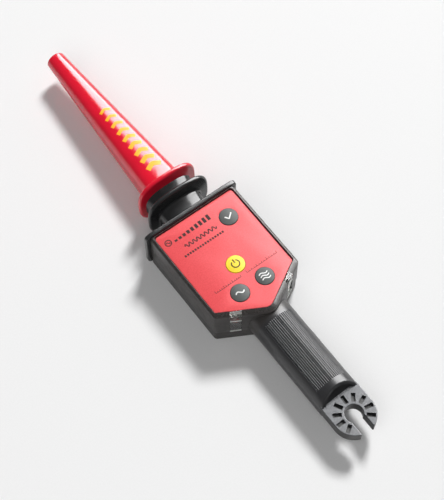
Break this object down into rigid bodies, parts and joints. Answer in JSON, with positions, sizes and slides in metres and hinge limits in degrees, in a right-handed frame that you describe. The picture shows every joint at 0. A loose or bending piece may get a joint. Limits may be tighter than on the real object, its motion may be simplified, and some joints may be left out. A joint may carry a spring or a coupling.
{
  "type": "non contact voltage tester",
  "caption": "Non-contact high-voltage tester: keypad head with a red face, ribbed black neck, long red sensing cone, round grip and a slotted spline end for a hot stick.",
  "frame": {"origin": "on the flat back that the tester lies on, under the middle of its bounding box", "axes": "+Z out of the keypad face, +Y along the tester towards the tip of the sensing cone, +X to the right of the keypad"},
  "size_m": [0.0736, 0.3502, 0.0438],
  "materials": {
    "shell_grey": "fine matte texture",
    "grip_black": "smooth",
    "cone_red": "polished",
    "label_red": "satin film",
    "key_grey": "smooth rubber",
    "key_yellow": "smooth rubber",
    "plunger_plastic": "smooth",
    "switch_black": "moulded",
    "board_green": "lacquered fibreglass",
    "can_steel": "tinned",
    "chip_black": "moulded",
    "component_brown": "fired",
    "buzzer_black": "moulded",
    "window_clear": "clear moulded plastic",
    "led_red": "tinted lens",
    "electrode_brass": "drawn",
    "support_plastic": "moulded",
    "lead_pvc": "flexible",
    "battery_case": "printed steel",
    "snap_black": "moulded",
    "foam_grey": "closed-cell foam",
    "screw_steel": "zinc plated",
    "seal_rubber": "smooth"
  },
  "bodies": {
    "power_button": {"power_key": "key_yellow", "power_plunger": "plunger_plastic"},
    "test_button": {"test_key": "key_grey", "test_plunger": "plunger_plastic"},
    "low_range_button": {"low_range_key": "key_grey", "low_range_plunger": "plunger_plastic"},
    "high_range_button": {"high_range_key": "key_grey", "high_range_plunger": "plunger_plastic"},
    "door": {"battery_door": "shell_grey"},
    "tester": {"front_housing": "shell_grey", "rear_housing": "shell_grey", "spline_end": "grip_black", "tenon_screw": "screw_steel", "neck_insulator": "grip_black", "cone_seal": "seal_rubber", "sensor_cone": "cone_red", "face_label": "label_red", "led_window_left": "window_clear", "led_window_right": "window_clear", "key_switches": "switch_black", "circuit_board": "board_green", "input_shield": "can_steel", "signal_chip": "chip_black", "board_components": "component_brown", "buzzer": "buzzer_black", "warning_led_left": "led_red", "warning_led_right": "led_red", "sensor_electrode": "electrode_brass", "electrode_supports": "support_plastic", "sensor_lead": "lead_pvc", "battery": "battery_case", "battery_snap": "snap_black", "battery_leads": "lead_pvc", "battery_pad": "foam_grey", "housing_screws": "screw_steel", "board_screws": "screw_steel", "neck_screws": "screw_steel"}
  },
  "joints": [
    {"name": "power_press", "type": "slide", "parent": "tester", "child": "power_button", "axis": [0, 0, -1], "range_m": [0, 0.0008], "stiffness_N_per_m": 2500, "springref_m": -0.0003},
    {"name": "test_press", "type": "slide", "parent": "tester", "child": "test_button", "axis": [0, 0, -1], "range_m": [0, 0.0008], "stiffness_N_per_m": 2500, "springref_m": -0.0003},
    {"name": "low_range_press", "type": "slide", "parent": "tester", "child": "low_range_button", "axis": [0, 0, -1], "range_m": [0, 0.0008], "stiffness_N_per_m": 2500, "springref_m": -0.0003},
    {"name": "high_range_press", "type": "slide", "parent": "tester", "child": "high_range_button", "axis": [0, 0, -1], "range_m": [0, 0.0008], "stiffness_N_per_m": 2500, "springref_m": -0.0003},
    {"name": "battery_door_slide", "type": "slide", "parent": "tester", "child": "door", "axis": [0, 1, 0], "range_m": [0, 0.008]}
  ]
}
